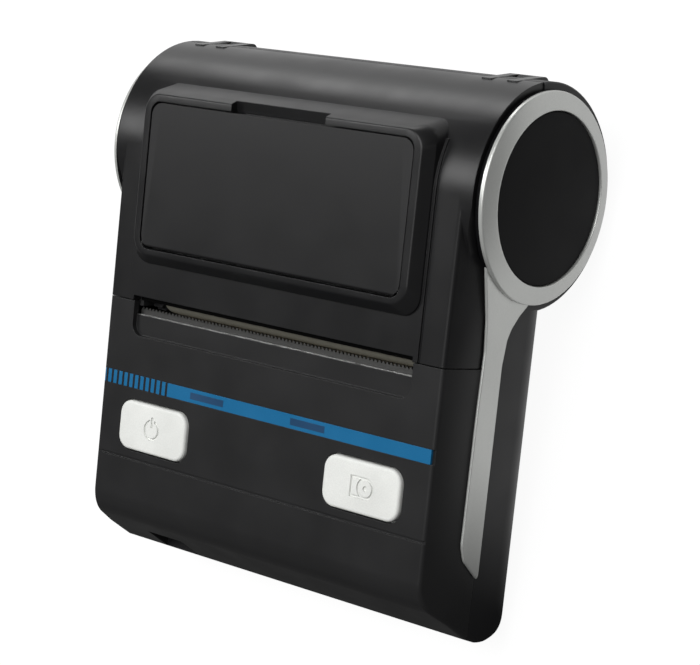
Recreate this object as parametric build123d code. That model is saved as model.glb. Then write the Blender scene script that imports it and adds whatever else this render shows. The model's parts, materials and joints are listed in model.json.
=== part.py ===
from build123d import *
from math import acos, atan2, cos, degrees, hypot, pi, radians, sin, tan
import os

os.makedirs("parts", exist_ok=True)

# Body frame while drawing: X is the width, Y runs from the button end to the roll end, Z is out of
# the control face, and the origin is the middle of the roll compartment's axis.

# Case
ROLL_R = 27.2
FACE_Z = 27.2
BACK_Z = -10.7
SIDE_X = 57.9
FACE_X = 54.7
FACET_Z = 17.0
CORNER_R = 11.0
WALL = 2.0
CHEEK = 3.0
FRONT_BREAK = (-95.75, FACE_Z)
FRONT_SEAM = (-105.9, 10.3)
FRONT_TOE = (-107.2, BACK_Z)
NOSE_R = 9.0
TOE_R = 17.0
EDGE_R = 1.3
END_CHAMFER = 0.35
SEAM_Y = -40.0
SEAM_GAP = 0.25
COVER_LOW_Z = 16.7
REAR_SEAM_ANGLE = 10.0
COVER_END_X = 57.55
COVER_BORE_R = ROLL_R - WALL
CHEEK_R = COVER_BORE_R - 0.3

# Raised middle of the cover and the frame round the release handle
MIDDLE_X = 47.4
MIDDLE_RISE = 0.5
BOSS_TOP_Z = 31.0
BOSS_MID_Z = 28.2
BOSS_LOW_Z = 20.0
BOSS_TOP = (-44.6, 44.6, -27.2, 13.4)
BOSS_MID = (-46.6, 46.6, -29.6, 14.6)
BOSS_LOW = (-47.2, 47.2, -30.4, 16.8)
BOSS_CORNER_R = 5.0
BOSS_BACK_Y = 12.0
POCKET_FLOOR_Z = 28.2
HANDLE_HALF_X = 42.2
HANDLE_Y0 = -25.4
HANDLE_Y1 = 11.2
HANDLE_T = 2.0
HANDLE_R = 3.2
POCKET_R = 3.0
HANDLE_TOP_Z = 30.8
HANDLE_GAP = 0.35
HANDLE_PIN_R = 0.6
HANDLE_PIN_X = 6.2 - HANDLE_HALF_X
HANDLE_PIVOT_R = 1.2
HANDLE_AXIS = (-24.15, 29.7)
NOTCH_HALF_X = 15.2
NOTCH_FLOOR_Z = 28.4
NOTCH_BACK = (15.6, 29.3)
LIP = (-39.8, 24.4, 25.9)
LIP_HALF_X = 44.8
FACET_START_Y = -14.0
FACET_END_Y = -1.0

# Paper slot, tray and tear bar
SLOT_HALF_X = 46.0
SLOT_COVER_Y = -38.6
SLOT_CASE_Y = -43.75
TRAY_Y = -48.9
TRAY_DEPTH = 1.4
TRAY_FLOOR_T = 1.2
TRAY_CORNER_R = 3.0
TEAR_HALF_X = 45.7
TEAR_Y = (-43.65, -43.05)
TEAR_Z = (22.6, 26.0)
TEAR_STRIP_Z = (24.4, 24.9)
TOOTH_BASE_Y = -42.4
TOOTH_REACH = 0.85
TOOTH_PITCH = 1.6
TEAR_FOOT = 3.4

# Platen and gear train
PLATEN_AXIS = (-37.0, 18.8)
RUBBER_R = 5.5
RUBBER_X = (-38.5, 44.1)
SHAFT_R = 2.0
SHAFT_X = (-48.2, 49.2)
BUSH_R = 3.2
BUSH_X = ((-47.6, -45.0), (46.0, 48.6))
RUN_GAP = 0.06
MODULE = 0.5
PLATEN_TEETH = 20
IDLER_TEETH = 24
PINION_TEETH = 12
GEAR_X = (-43.9, -40.9)
IDLER_AXIS = (PLATEN_AXIS[0], PLATEN_AXIS[1] - MODULE * (PLATEN_TEETH + IDLER_TEETH) / 2)
MOTOR_Z = -0.8
MOTOR_R = 7.5
MOTOR_L = 15.0
MOTOR_SHAFT_R = 0.75
PINION_REACH = MODULE * (IDLER_TEETH + PINION_TEETH) / 2
PINION_AXIS = (IDLER_AXIS[0] - (PINION_REACH ** 2 - (IDLER_AXIS[1] - MOTOR_Z) ** 2) ** 0.5, MOTOR_Z)
STUD_R = 1.4
BRACKET_END_X = 52.7
BRACKET_EAR_Y = (-38.0, -31.6)

# Print head and frame
HEAD_Y = -42.8
HEAD_X = (-38.3, 43.9)
HEAD_Z = (9.0, 21.8)
CERAMIC_T = 1.0
SINK_T = 3.0
PLATE_LEFT_X = (-40.2, -39.3)
PLATE_RIGHT_X = (45.0, 46.0)
FRAME_Y = (-52.0, -30.5)
FRAME_Z = (-6.0, 21.0)
FRAME_LOW_TOP = 11.2
FRAME_STEP_Y = -47.2
FRAME_T = 0.9
CHUTE_Z = 12.4
CHUTE_T = 1.0

# Latch
LATCH_AXIS = (-28.5, 22.0)
LATCH_R = 1.5
LATCH_END_X = 52.6
HOOK_T = 2.0
LATCH_STUD = (-32.3, 13.2)
LATCH_STUD_R = 1.2

# Hinge at the rear
HINGE_ANGLE = -8.0
HINGE_REACH = ROLL_R - 0.9
HINGE_AXIS = (HINGE_REACH * cos(radians(HINGE_ANGLE)), HINGE_REACH * sin(radians(HINGE_ANGLE)))
HINGE_PIN_R = 0.8
KNUCKLE_R = 1.9
KNUCKLE_GAP = 0.3
COVER_KNUCKLES = ((-52.0, -49.2), (-44.6, -41.8), (41.8, 44.6), (49.2, 52.0))
BASE_KNUCKLES = ((-48.9, -44.9), (44.9, 48.9))
HINGE_PIN_X = (41.9, 52.0)

# Controls
BUTTON_X = 34.9
BUTTON_Y = -72.0
BUTTON_W = 23.6
BUTTON_H = 12.7
BUTTON_R = 3.6
BUTTON_RISE = 0.9
BUTTON_GAP = 0.4
BUTTON_FLANGE = 1.4
STEP_Y = -80.9
GROOVE_W = 0.7
GROOVE_D = 0.5
STRIPE_Y = (-62.5, -59.0)
STRIPE_T = 0.6
BAR_COUNT = 12
BAR_X0 = -52.4
BAR_PITCH = 1.85
BAR_W = 0.8
WINDOW_X = ((-23.2, -11.8), (10.6, 21.6))
WINDOW_H = 1.7

# Board, battery and port
BOARD_Z = 12.0
BOARD_T = 1.6
BOARD = (-50.0, 50.0, -98.0, -54.6)
POST_XY = ((-46.0, -93.0), (46.0, -93.0), (-46.0, -58.0), (46.0, -58.0))
BATTERY = (-34.0, 34.0, -88.0, -55.2, -8.3, 9.0)
DOOR = (-36.5, 36.5, -89.5, -53.5)
DOOR_GAP = 0.35
DOOR_R = 0.85
DOOR_AXIS = (-54.75, BACK_Z + 0.05 + DOOR_R)
DOOR_PIN_R = 0.5
DOOR_PIN_L = 1.2
PORT_X = (-40.4, -32.2)
PORT_Z = (BOARD_Z + BOARD_T, BOARD_Z + BOARD_T + 3.2)
RECESS_X = (-42.4, -30.2)

# Side trim
TAIL_X = (SIDE_X, 58.7)
RING_Z = 0.9
RING_R = 25.3
RING_BORE = 20.7
RING_RIM_X = 59.7
RING_LIP_X = 61.0
RING_EDGE = 0.35
CAP_EDGE_X = 60.0
CAP_RISE = 0.9
TAIL_FRONT = ((-14.0, 20.9), (-28.4, 17.7), (-36.0, 16.9), (-50.0, 17.3), (-82.0, 17.5), (-85.8, 16.1))
TAIL_BACK = ((-90.8, 10.2), (-89.9, 9.7), (-39.6, 9.7), (-33.5, 8.8), (-31.0, 7.6), (-28.0, 5.0), (-24.0, 0.5))

# Feet and rest plane
FOOT_R = 4.6
FRONT_FOOT = (41.7, -82.0)
FRONT_FOOT_H = 2.2
REAR_FOOT_X = 40.0
REAR_FOOT_H = 0.9
_reach = hypot(FRONT_FOOT[1], BACK_Z - FRONT_FOOT_H)
_bearing = degrees(atan2(BACK_Z - FRONT_FOOT_H, FRONT_FOOT[1])) + 360.0
_down = _bearing + degrees(acos((ROLL_R + REAR_FOOT_H) / _reach))
TILT = 270.0 - _down
REST = ROLL_R + REAR_FOOT_H
ROW_SHIFT_Y = 39.15


def box(x0, x1, y0, y1, z0, z1):
    return Pos((x0 + x1) / 2, (y0 + y1) / 2, (z0 + z1) / 2) * Box(x1 - x0, y1 - y0, z1 - z0)


def rod(r, x0, x1, at):
    return Pos((x0 + x1) / 2, at[0], at[1]) * Rot(0, 90, 0) * Cylinder(r, x1 - x0)


def prism(points, x0, x1):
    """A side outline of (Y, Z) points, extruded along X."""
    face = make_face(Polyline(*[(0, y, z) for y, z in points], close=True))
    return Pos(x0, 0, 0) * extrude(face, amount=x1 - x0, dir=(1, 0, 0))


def mirrored(shape):
    return mirror(shape, about=Plane.YZ)


def group(*shapes):
    return Compound(children=[s for shape in shapes for s in shape.solids()])


def save(shape, node):
    """Turns a piece to stand on its feet and writes it."""
    placed = Pos(0, ROW_SHIFT_Y, REST) * Rot(TILT, 0, 0) * shape
    export_step(placed, "parts/" + node + ".step")


def rounded_plate(x0, x1, y0, y1, z0, z1, r):
    flat = Pos((x0 + x1) / 2, (y0 + y1) / 2, z0) * RectangleRounded(x1 - x0, y1 - y0, r)
    return extrude(flat, amount=z1 - z0, dir=(0, 0, 1))


def side_outline(inset):
    """The slab's side view, shrunk by the inset."""
    top = FACE_Z - inset
    low = BACK_Z + inset
    slope = (FRONT_BREAK[0] - FRONT_SEAM[0]) / (FRONT_BREAK[1] - FRONT_SEAM[1])
    lean = hypot(1.0, slope)
    seam_y = FRONT_SEAM[0] + inset * lean
    break_y = seam_y + (top - FRONT_SEAM[1]) * slope
    toe_y = FRONT_TOE[0] + inset
    line = Polyline((0, 0, top), (0, break_y, top), (0, seam_y, FRONT_SEAM[1]), (0, toe_y, low + TOE_R - inset),
                    (0, toe_y, low), (0, 0, low), close=True)
    face = make_face(line)
    nose = face.vertices().sort_by_distance((0, break_y, top))[0]
    toe = face.vertices().sort_by_distance((0, toe_y, low))[0]
    face = fillet(nose, NOSE_R - inset)
    toe = face.vertices().sort_by_distance((0, toe_y, low))[0]
    return fillet(toe, TOE_R - inset - 0.05)


def cross_section(inset, y):
    """The slab's section across its width, with the side facets and the rounded back corners."""
    side = SIDE_X - inset
    low = BACK_Z + inset
    radius = CORNER_R - inset
    top = FACE_Z + 1.0
    run = (SIDE_X - FACE_X) / (FACE_Z - FACET_Z)
    top_x = SIDE_X - run * (top - FACET_Z) - inset * hypot(1.0, run)
    facet_z = FACET_Z
    line = Polyline((-top_x, y, top), (-side, y, facet_z), (-side, y, low), (side, y, low), (side, y, facet_z),
                    (top_x, y, top), close=True)
    face = make_face(line)
    corners = face.vertices().sort_by(Axis.Z)[:2]
    return fillet(corners, radius)


def run_out():
    """What the right side facet takes off the roll compartment's rim as it dies away."""
    low = Vector(SIDE_X, FACET_START_Y, FACET_Z)
    high = Vector(FACE_X, FACET_START_Y, FACE_Z)
    last = Vector(SIDE_X, FACET_END_Y, FACE_Z)
    outward = (last - low).cross(high - low)
    tilted = Plane(origin=low, x_dir=high - low, z_dir=outward if outward.X > 0 else outward * -1)
    beyond = extrude(tilted * Rectangle(120, 120), amount=30)
    full = prism([(FACET_START_Y - 20, FACET_Z), (FACET_START_Y, FACET_Z), (FACET_START_Y, 40),
                  (FACET_START_Y - 20, 40)], FACE_X - 3, SIDE_X + 5)
    kept = extrude(cross_section(0.0, FACET_START_Y), amount=25, dir=(0, -1, 0))
    ahead = beyond & box(FACE_X - 5, SIDE_X + 5, FACET_START_Y, 5, 0, 40)
    return ahead + (full - kept)


def body(inset, roll_half_x):
    slab = Pos(-SIDE_X - 1, 0, 0) * extrude(side_outline(inset), amount=2 * SIDE_X + 2, dir=(1, 0, 0))
    tube = extrude(cross_section(inset, 0), amount=130, dir=(0, -1, 0))
    slab = slab & tube
    roll = rod(ROLL_R - inset, -roll_half_x, roll_half_x, (0, 0))
    if not inset:
        rim = [e for e in slab.edges() if e.center().Y < -1.0 and abs(e.center().X) > 50.0 and e.center().Z > 7.0]
        slab = fillet([e for e in rim if 0.1 < e.length < 100.0], EDGE_R)
        roll = chamfer(roll.edges().filter_by(GeomType.CIRCLE), END_CHAMFER)
        roll = roll - run_out() - mirrored(run_out())
    return slab + roll


outer = body(0.0, SIDE_X)
inner = body(WALL, SIDE_X - CHEEK)
shell = outer - inner


def cover_mask(gap, half_x):
    """Everything that the cover takes: ahead of the rear seam, above the side edges."""
    far = 70.0
    a = radians(REAR_SEAM_ANGLE)
    rear = (far * cos(a) - gap * sin(a), far * sin(a) + gap * cos(a))
    start = (-gap * sin(a), gap * cos(a))
    points = [(SEAM_Y + gap, far), (SEAM_Y + gap, COVER_LOW_Z + gap), (-19.0, COVER_LOW_Z + gap), start, rear,
              (far, far)]
    return prism(points, -half_x, half_x)


# Cover
ARM_ANGLE = 16.0
ARM_RISE = 0.3
ARM_TOP = (ROLL_R * cos(radians(ARM_ANGLE)), ROLL_R * sin(radians(ARM_ANGLE)))


def knuckle(x0, x1):
    return rod(KNUCKLE_R, x0, x1, HINGE_AXIS) - rod(COVER_BORE_R, x0 - 1, x1 + 1, (0, 0))


cover = (shell & cover_mask(SEAM_GAP / 2, COVER_END_X)) - rod(COVER_BORE_R, -SIDE_X - 1, SIDE_X + 1, (0, 0))

middle = rod(ROLL_R + MIDDLE_RISE, -MIDDLE_X, MIDDLE_X, (0, 0)) + box(
    -MIDDLE_X, MIDDLE_X, SEAM_Y + SEAM_GAP / 2, 0, FACE_Z - WALL, FACE_Z + MIDDLE_RISE)
middle = middle & cover_mask(SEAM_GAP / 2, MIDDLE_X) & box(-70, 70, SEAM_Y, BOSS_BACK_Y, 0, 60)
middle = middle - rod(COVER_BORE_R, -SIDE_X, SIDE_X, (0, 0)) - box(
    -SIDE_X, SIDE_X, SEAM_Y - 1, 0, -20, FACE_Z - WALL)


def boss_face(limits, z):
    x0, x1, y0, y1 = limits
    return Pos((x0 + x1) / 2, (y0 + y1) / 2, z) * RectangleRounded(x1 - x0, y1 - y0, BOSS_CORNER_R)


boss = loft([boss_face(BOSS_MID, BOSS_MID_Z), boss_face(BOSS_TOP, BOSS_TOP_Z)])
boss = fillet(boss.edges().group_by(Axis.Z)[-1], 0.7)
boss = boss + loft([boss_face(BOSS_LOW, BOSS_LOW_Z), boss_face(BOSS_MID, BOSS_MID_Z)])
boss = boss - rod(COVER_BORE_R, -SIDE_X, SIDE_X, (0, 0)) - box(-SIDE_X, SIDE_X, SEAM_Y, 0, 0, FACE_Z - WALL)
boss = boss & cover_mask(SEAM_GAP / 2, SIDE_X)
cover = cover + middle + boss
pocket = rounded_plate(-HANDLE_HALF_X - HANDLE_GAP, HANDLE_HALF_X + HANDLE_GAP, HANDLE_Y0 - HANDLE_GAP,
                       HANDLE_Y1 + HANDLE_GAP, POCKET_FLOOR_Z, BOSS_TOP_Z + 1, POCKET_R)
cover = cover - pocket
cover = cover - rod(HANDLE_PIN_R + RUN_GAP, -HANDLE_HALF_X - 1.5, HANDLE_HALF_X + 1.5, HANDLE_AXIS)
notch = prism([(HANDLE_Y1 - 0.5, NOTCH_FLOOR_Z), (HANDLE_Y1 - 0.5, 40), (30, 40), (30, NOTCH_BACK[1]), NOTCH_BACK],
              -NOTCH_HALF_X, NOTCH_HALF_X)
cover = cover - notch
cover = cover - box(-SLOT_HALF_X, SLOT_HALF_X, SEAM_Y - 1, SLOT_COVER_Y, 0, 40)
cover = cover + box(-LIP_HALF_X, LIP_HALF_X, LIP[0], SLOT_COVER_Y + 0.6, LIP[1], LIP[2])
for x0, x1 in COVER_KNUCKLES:
    arm = prism([(HINGE_AXIS[0] - KNUCKLE_R, HINGE_AXIS[1]), (HINGE_AXIS[0] + KNUCKLE_R, HINGE_AXIS[1]),
                 (ARM_TOP[0] + ARM_RISE, ARM_TOP[1]), (ARM_TOP[0] - WALL, ARM_TOP[1])], x0, x1)
    cover = cover + (knuckle(x0, x1) + (arm - rod(COVER_BORE_R, x0 - 1, x1 + 1, (0, 0))))
pin_bore = rod(HINGE_PIN_R + RUN_GAP, HINGE_PIN_X[0] - 0.2, HINGE_PIN_X[1] + 0.2, HINGE_AXIS)
cover = cover - pin_bore - mirrored(pin_bore)
save(cover, "cover_shell")

# Lower case
lower = shell - cover_mask(-SEAM_GAP / 2, SIDE_X + 5)
cheeks = group(rod(CHEEK_R, SIDE_X - CHEEK, SIDE_X, (0, 0)), rod(CHEEK_R, -SIDE_X, CHEEK - SIDE_X, (0, 0)))
lower = lower - box(-70, 70, -120, SEAM_Y + SEAM_GAP / 2, FRONT_SEAM[1] - 0.05, 60)
lower = lower + cheeks
for x0, x1 in COVER_KNUCKLES:
    lower = lower - rod(KNUCKLE_R + KNUCKLE_GAP, x0 - KNUCKLE_GAP, x1 + KNUCKLE_GAP, HINGE_AXIS)
    lower = lower - box(x0 - KNUCKLE_GAP, x1 + KNUCKLE_GAP, ROLL_R - 5, ROLL_R + 5, HINGE_AXIS[1], ARM_TOP[1])
for x0, x1 in BASE_KNUCKLES:
    lower = lower + knuckle(x0, x1)
hinge_rod = rod(HINGE_PIN_R, HINGE_PIN_X[0], HINGE_PIN_X[1], HINGE_AXIS)
lower = lower - hinge_rod - mirrored(hinge_rod)
bay_arc = rod(COVER_BORE_R + 1.5, -SIDE_X + CHEEK, SIDE_X - CHEEK, (0, 0)) - rod(
    COVER_BORE_R, -SIDE_X, SIDE_X, (0, 0))
bay_wall = bay_arc & box(-SIDE_X + CHEEK, SIDE_X - CHEEK, -40, -12, -26, 3.0)
bay_wall = bay_wall & inner
lower = lower + bay_wall
door_cut = box(DOOR[0], DOOR[1], DOOR[2], DOOR[3], BACK_Z - 2, BACK_Z + WALL + 0.5)
lower = lower - door_cut - rod(DOOR_PIN_R + RUN_GAP, DOOR[0] - DOOR_PIN_L - 0.1, DOOR[1] + DOOR_PIN_L + 0.1, DOOR_AXIS)
for x, y in POST_XY:
    post = Pos(x, y, (BOARD_Z + BACK_Z + WALL - 0.5) / 2) * Cylinder(3.0, BOARD_Z - BACK_Z - WALL + 0.5)
    lower = lower + (post & (inner + shell)) - Pos(x, y, BOARD_Z - 4) * Cylinder(1.0, 9)
for x in (PLATE_RIGHT_X[0] - 0.3, PLATE_LEFT_X[0] - 0.7):
    lower = lower + box(x, x + 1.4, FRAME_Y[0] + 1, FRAME_Y[1] - 1, BACK_Z + WALL - 0.3, FRAME_Z[0])
recess = box(RECESS_X[0], RECESS_X[1], -112, -99.5, BOARD_Z - 1.8, PORT_Z[1] + 1.3)
lower = lower - recess
for s in (-1, 1):
    stud = rod(LATCH_STUD_R, 50.2, SIDE_X - WALL + 0.5, LATCH_STUD)
    lower = lower + (stud if s > 0 else mirrored(stud))
save(lower, "lower_case")


# Control housing
housing = shell & box(-70, 70, -120, SEAM_Y - SEAM_GAP / 2, FRONT_SEAM[1] + 0.05, 60)
tray_pad = box(-SLOT_HALF_X - 2, SLOT_HALF_X + 2, TRAY_Y - 1.5, SLOT_CASE_Y, FACE_Z - TRAY_DEPTH - TRAY_FLOOR_T, FACE_Z - 0.5)
housing = housing + tray_pad
tray = rounded_plate(-SLOT_HALF_X, SLOT_HALF_X, TRAY_Y, SEAM_Y + 20, FACE_Z - TRAY_DEPTH, FACE_Z + 1, TRAY_CORNER_R)
housing = housing - tray - box(-SLOT_HALF_X, SLOT_HALF_X, SLOT_CASE_Y, 0, 0, 60)
housing = housing - box(-70, 70, SEAM_Y - SEAM_GAP / 2, 0, 0, 60)
for s in (-1, 1):
    housing = housing - rounded_plate(s * BUTTON_X - BUTTON_W / 2 - BUTTON_GAP, s * BUTTON_X + BUTTON_W / 2 + BUTTON_GAP,
                                      BUTTON_Y - BUTTON_H / 2 - BUTTON_GAP, BUTTON_Y + BUTTON_H / 2 + BUTTON_GAP,
                                      20, 40, BUTTON_R + BUTTON_GAP)
groove = box(-70, 70, STEP_Y - GROOVE_W / 2, STEP_Y + GROOVE_W / 2, FACE_Z - GROOVE_D, 40)
housing = housing - groove
stripe_bed = box(-70, 70, STRIPE_Y[0], STRIPE_Y[1], FACE_Z - STRIPE_T, 40)
housing = housing - stripe_bed - recess
save(housing, "control_housing")

# Status stripe, its bars and its two indicator windows
stripe_half = FACE_X - EDGE_R / 2
stripe = box(-stripe_half, stripe_half, STRIPE_Y[0], STRIPE_Y[1], FACE_Z - STRIPE_T, FACE_Z + 0.1)
stripe_mid = (STRIPE_Y[0] + STRIPE_Y[1]) / 2
cuts = [box(BAR_X0 + i * BAR_PITCH, BAR_X0 + i * BAR_PITCH + BAR_W, STRIPE_Y[0] + 0.35, STRIPE_Y[1] - 0.35,
            FACE_Z - 0.3, FACE_Z + 0.5) for i in range(BAR_COUNT)]
panes = [box(x0, x1, stripe_mid - WINDOW_H / 2, stripe_mid + WINDOW_H / 2, FACE_Z - 0.3, FACE_Z + 0.5)
         for x0, x1 in WINDOW_X]
for cut in cuts + panes:
    stripe = stripe - cut
save(stripe, "status_stripe")
save(group(*[box(BAR_X0 + i * BAR_PITCH, BAR_X0 + i * BAR_PITCH + BAR_W, STRIPE_Y[0] + 0.35, STRIPE_Y[1] - 0.35,
                 FACE_Z - 0.3, FACE_Z + 0.15) for i in range(BAR_COUNT)]), "level_bars")
save(group(*[box(x0, x1, stripe_mid - WINDOW_H / 2, stripe_mid + WINDOW_H / 2, FACE_Z - 0.3, FACE_Z + 0.15)
             for x0, x1 in WINDOW_X]), "indicator_windows")

# Side trim and end caps


def turned(points):
    """A ring or disc turned about the end cap's axis from (radius, X) points."""
    face = make_face(Polyline(*[(x, 0, RING_Z + r) for r, x in points], close=True))
    return revolve(face, Axis((0, 0, RING_Z), (1, 0, 0)))


ring = turned([(RING_BORE, SIDE_X), (RING_R, SIDE_X), (RING_R, RING_RIM_X - RING_EDGE),
               (RING_R - RING_EDGE, RING_RIM_X), (RING_BORE + RING_EDGE, RING_LIP_X),
               (RING_BORE, RING_LIP_X - RING_EDGE)])
tail = prism(list(TAIL_FRONT) + list(TAIL_BACK), TAIL_X[0], TAIL_X[1])
trim = ring + (tail - rod(RING_BORE + 1, 50, 70, (0, RING_Z)))
save(trim, "trim_right")
save(mirrored(trim), "trim_left")
cap_r = RING_BORE - 0.15
dome_r = (cap_r ** 2 + CAP_RISE ** 2) / (2 * CAP_RISE)
cap = rod(cap_r, SIDE_X, CAP_EDGE_X + CAP_RISE + 1, (0, RING_Z))
cap = cap & Pos(CAP_EDGE_X + CAP_RISE - dome_r, 0, RING_Z) * Sphere(dome_r)
save(cap, "end_cap_right")
save(mirrored(cap), "end_cap_left")

# Tear bar
blade = box(-TEAR_HALF_X, TEAR_HALF_X, TEAR_Y[0], TEAR_Y[1], TEAR_Z[0], TEAR_Z[1])
foot_plate = box(-TEAR_HALF_X, TEAR_HALF_X, TEAR_Y[0] - TEAR_FOOT, TEAR_Y[1], TEAR_Z[0], TEAR_Z[0] + 0.6)
teeth = int(2 * TEAR_HALF_X / TOOTH_PITCH)
start = -teeth * TOOTH_PITCH / 2
saw = [(start, TEAR_Y[0])]
for i in range(teeth):
    saw += [(start + i * TOOTH_PITCH, TOOTH_BASE_Y), (start + (i + 0.5) * TOOTH_PITCH, TOOTH_BASE_Y + TOOTH_REACH)]
saw += [(-start, TOOTH_BASE_Y), (-start, TEAR_Y[0])]
saw_face = make_face(Polyline(*[(x, y, TEAR_STRIP_Z[0]) for x, y in saw], close=True))
save(blade + foot_plate + extrude(saw_face, amount=TEAR_STRIP_Z[1] - TEAR_STRIP_Z[0], dir=(0, 0, 1)), "tear_bar")

# Print head, heat sink and pressure spring
save(box(HEAD_X[0], HEAD_X[1], HEAD_Y - CERAMIC_T, HEAD_Y, HEAD_Z[0], HEAD_Z[1]), "print_head")
sink_y = HEAD_Y - CERAMIC_T
sink = box(HEAD_X[0], HEAD_X[1], sink_y - SINK_T, sink_y, HEAD_Z[0], HEAD_Z[1])
sink = sink + rod(1.0, PLATE_LEFT_X[1], PLATE_RIGHT_X[0], (sink_y - SINK_T / 2, HEAD_Z[0] + 1.6))
save(sink, "head_heat_sink")
spring_run = sink_y - SINK_T - FRAME_Y[0] - FRAME_T
leaf_line = [(FRAME_Y[0] + FRAME_T, 10.0), (FRAME_Y[0] + FRAME_T + spring_run, 14.0), (FRAME_Y[0] + FRAME_T, 18.0),
             (FRAME_Y[0] + FRAME_T, 17.5), (FRAME_Y[0] + FRAME_T + spring_run - 0.5, 14.0),
             (FRAME_Y[0] + FRAME_T, 10.5)]
save(group(*[prism(leaf_line, x - 5, x + 5) for x in (-22, 3, 28)]), "head_springs")

# Mechanism frame with its gear stud
side_line = [(FRAME_Y[0], FRAME_Z[0]), (FRAME_Y[0], FRAME_Z[1]), (FRAME_STEP_Y, FRAME_Z[1]),
             (FRAME_STEP_Y, FRAME_LOW_TOP), (FRAME_Y[1], FRAME_LOW_TOP), (FRAME_Y[1], FRAME_Z[0])]
frame = prism(side_line, *PLATE_LEFT_X) + prism(side_line, *PLATE_RIGHT_X)
frame = frame + box(PLATE_LEFT_X[0], PLATE_RIGHT_X[1], FRAME_Y[0], FRAME_Y[0] + FRAME_T, FRAME_Z[0], FRAME_Z[1])
frame = frame + rod(STUD_R, GEAR_X[0] - 0.4, PLATE_LEFT_X[1], IDLER_AXIS)
frame = frame - rod(1.6, PLATE_LEFT_X[0] - 0.01, PLATE_LEFT_X[1] + 0.01, PINION_AXIS)
save(frame, "mechanism_frame")

# Paper chute under the platen
chute_line = [(-22.6, 9.0), (-29.0, CHUTE_Z), (-42.5, CHUTE_Z), (-42.5, CHUTE_Z - CHUTE_T),
              (-29.3, CHUTE_Z - CHUTE_T), (-27.5, 8.6), (-26.9, 3.4), (-25.9, 3.4), (-24.6, 6.6)]
chute = prism(chute_line, PLATE_LEFT_X[1] + 0.2, PLATE_RIGHT_X[0] - 0.2)
sensor_x = (4.0, 9.0)
chute = chute - box(sensor_x[0], sensor_x[1], -36.0, -32.0, 0, 20)
save(chute, "paper_chute")
save(box(sensor_x[0] + 0.2, sensor_x[1] - 0.2, -35.8, -32.2, CHUTE_Z - 4.0, CHUTE_Z - 0.3), "paper_sensor")

# Motor and gears


def spur(teeth, bore, x0, x1, at, turn=0.0):
    pitch = MODULE * teeth / 2
    root, tip = pitch - 1.2 * MODULE, pitch + 0.85 * MODULE
    points = []
    for i in range(teeth):
        mid = 2 * pi * i / teeth + radians(turn)
        for r, share in ((root, -0.30), (tip, -0.11), (tip, 0.11), (root, 0.30)):
            a = mid + share * 2 * pi / teeth
            points.append((at[0] + r * cos(a), at[1] + r * sin(a)))
    return prism(points, x0, x1) - rod(bore, x0 - 1, x1 + 1, at)


save(rod(MOTOR_R, PLATE_LEFT_X[1], PLATE_LEFT_X[1] + MOTOR_L, PINION_AXIS)
     - rod(MOTOR_SHAFT_R + RUN_GAP, PLATE_LEFT_X[1] - 1, PLATE_LEFT_X[1] + 6, PINION_AXIS), "stepper_motor")
save(rod(MOTOR_SHAFT_R, GEAR_X[0] - 0.4, PLATE_LEFT_X[1] + 5, PINION_AXIS), "motor_shaft")
mesh_up = 90.0
link = degrees(atan2(IDLER_AXIS[1] - PINION_AXIS[1], IDLER_AXIS[0] - PINION_AXIS[0]))
platen_turn = -90.0
idler_turn = mesh_up + 180.0 / IDLER_TEETH
idler_phase = (link + 180.0 - idler_turn) % (360.0 / IDLER_TEETH)
pinion_turn = link + 180.0 / PINION_TEETH + idler_phase * IDLER_TEETH / PINION_TEETH
save(spur(PINION_TEETH, MOTOR_SHAFT_R, GEAR_X[0], GEAR_X[1], PINION_AXIS, pinion_turn), "motor_pinion")
save(spur(IDLER_TEETH, STUD_R + RUN_GAP, GEAR_X[0], GEAR_X[1], IDLER_AXIS, idler_turn), "idler_gear")

# Platen
save(rod(SHAFT_R, SHAFT_X[0], SHAFT_X[1], PLATEN_AXIS), "platen_shaft")
save(rod(RUBBER_R, RUBBER_X[0], RUBBER_X[1], PLATEN_AXIS) - rod(SHAFT_R, -60, 60, PLATEN_AXIS), "platen_rubber")
save(spur(PLATEN_TEETH, SHAFT_R, GEAR_X[0], GEAR_X[1], PLATEN_AXIS, platen_turn), "platen_gear")
save(group(*[rod(BUSH_R, x0, x1, PLATEN_AXIS) - rod(SHAFT_R + RUN_GAP, x0 - 1, x1 + 1, PLATEN_AXIS)
             for x0, x1 in BUSH_X]), "platen_bushings")

# Bracket inside the cover: it carries the platen and the latch bar
bracket_parts = []
for side, (x0, x1) in zip((-1, 1), BUSH_X):
    cheek = prism([(-41.4, 24.9), (-41.4, 17.5), (-38.5, 14.6), (-35.0, 14.6), (-26.0, 19.4), (-26.0, 24.9)], x0, x1)
    outboard = box(min(x0, side * BRACKET_END_X), max(x1, side * BRACKET_END_X), *BRACKET_EAR_Y,
                   FACE_Z - WALL - 0.9, FACE_Z - WALL)
    plate = cheek + outboard - rod(BUSH_R, x0 - 1, x1 + 1, PLATEN_AXIS) - rod(LATCH_R + RUN_GAP, -60, 60, LATCH_AXIS)
    bracket_parts.append(plate)
save(group(*bracket_parts), "cover_bracket")
save(group(*[Pos(s * x, y, FACE_Z - WALL - 1.3) * Cylinder(1.3, 0.8) for s in (-1, 1) for x, y in
             ((50.8, -36.0), (50.8, -33.0))]), "bracket_screws")

# Latch bar with two hooks
hook_line = [(-30.2, 24.2), (-30.4, 14.6), (-30.4, 9.8), (-29.0, 9.0), (-27.2, 9.6), (-26.9, 24.2)]
hooks = [prism(hook_line, s * (LATCH_END_X - HOOK_T / 2) - HOOK_T / 2, s * (LATCH_END_X - HOOK_T / 2) + HOOK_T / 2)
         for s in (-1, 1)]
hooks = [hook - rod(LATCH_R, -60, 60, LATCH_AXIS) for hook in hooks]
save(rod(LATCH_R, -LATCH_END_X, LATCH_END_X, LATCH_AXIS), "latch_bar")
save(group(*hooks), "latch_hooks")

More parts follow.
